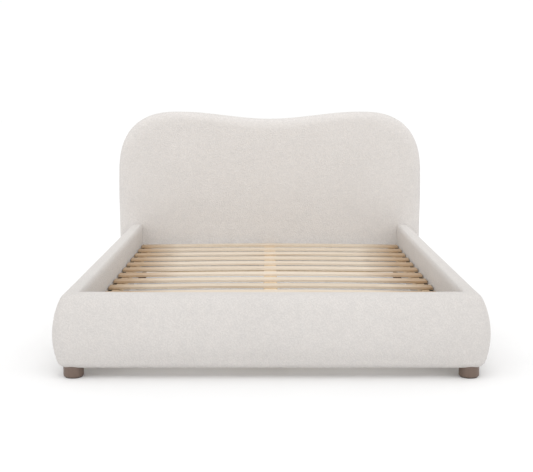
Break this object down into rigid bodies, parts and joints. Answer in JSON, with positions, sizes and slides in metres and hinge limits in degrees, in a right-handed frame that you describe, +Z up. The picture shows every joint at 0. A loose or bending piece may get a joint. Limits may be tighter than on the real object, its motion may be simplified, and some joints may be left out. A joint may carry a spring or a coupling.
{
  "type": "upholstered headboard bed",
  "caption": "Bed frame with a wide two-hump upholstered headboard, barrel-section rails and footboard, round timber feet and a timber slat base.",
  "frame": {"origin": "on the floor, at the middle of the bed's length and width", "axes": "+X to the right seen from the foot, +Y from the foot to the headboard, +Z up"},
  "size_m": [1.822, 2.252, 1.019],
  "materials": {
    "boucle": "pale boucle",
    "lining": "woven lining",
    "foam": "upholstery foam",
    "plywood": "raw plywood",
    "timber": "planed softwood",
    "slat_pine": "sanded pale pine",
    "webbing": "woven webbing",
    "steel": "zinc plated",
    "stained_wood": "stained, satin",
    "felt": "felt",
    "glide_nylon": "moulded"
  },
  "bodies": {
    "bed": {"headboard_cover": "boucle", "headboard_foam": "foam", "headboard_panel": "plywood", "headboard_post_left": "timber", "headboard_post_right": "timber", "headboard_cross_rails": "timber", "headboard_fixing_board": "plywood", "headboard_back_lining": "lining", "footboard_cover": "boucle", "footboard_foam": "foam", "footboard_core": "plywood", "footboard_blocks": "timber", "rail_cover_left": "boucle", "rail_cover_right": "boucle", "rail_foam_left": "foam", "rail_foam_right": "foam", "rail_core_left": "plywood", "rail_core_right": "plywood", "cleat_left": "timber", "cleat_right": "timber", "cleat_screws": "steel", "slat_01": "slat_pine", "slat_02": "slat_pine", "slat_03": "slat_pine", "slat_04": "slat_pine", "slat_05": "slat_pine", "slat_06": "slat_pine", "slat_07": "slat_pine", "slat_08": "slat_pine", "slat_09": "slat_pine", "slat_10": "slat_pine", "slat_11": "slat_pine", "slat_12": "slat_pine", "slat_13": "slat_pine", "webbing_left": "webbing", "webbing_right": "webbing", "centre_rail": "timber", "centre_bracket_foot": "steel", "centre_bracket_head": "steel", "centre_leg_foot": "timber", "centre_leg_middle": "timber", "centre_leg_head": "timber", "corner_bracket_foot_left": "steel", "corner_bracket_foot_right": "steel", "corner_bracket_head_left": "steel", "corner_bracket_head_right": "steel", "corner_bolts": "steel", "centre_bracket_screws": "steel", "foot_front_left": "stained_wood", "foot_front_right": "stained_wood", "foot_back_left": "stained_wood", "foot_back_right": "stained_wood", "foot_bolts": "steel", "foot_pads": "felt"},
    "foot_leveller": {"glide_foot": "glide_nylon"},
    "middle_leveller": {"glide_middle": "glide_nylon"},
    "head_leveller": {"glide_head": "glide_nylon"}
  },
  "joints": [
    {"name": "foot_leveller_screw", "type": "slide", "parent": "bed", "child": "foot_leveller", "axis": [0, 0, 1], "range_m": [-0.005, 0.015]},
    {"name": "middle_leveller_screw", "type": "slide", "parent": "bed", "child": "middle_leveller", "axis": [0, 0, 1], "range_m": [-0.005, 0.015]},
    {"name": "head_leveller_screw", "type": "slide", "parent": "bed", "child": "head_leveller", "axis": [0, 0, 1], "range_m": [-0.005, 0.015]}
  ]
}
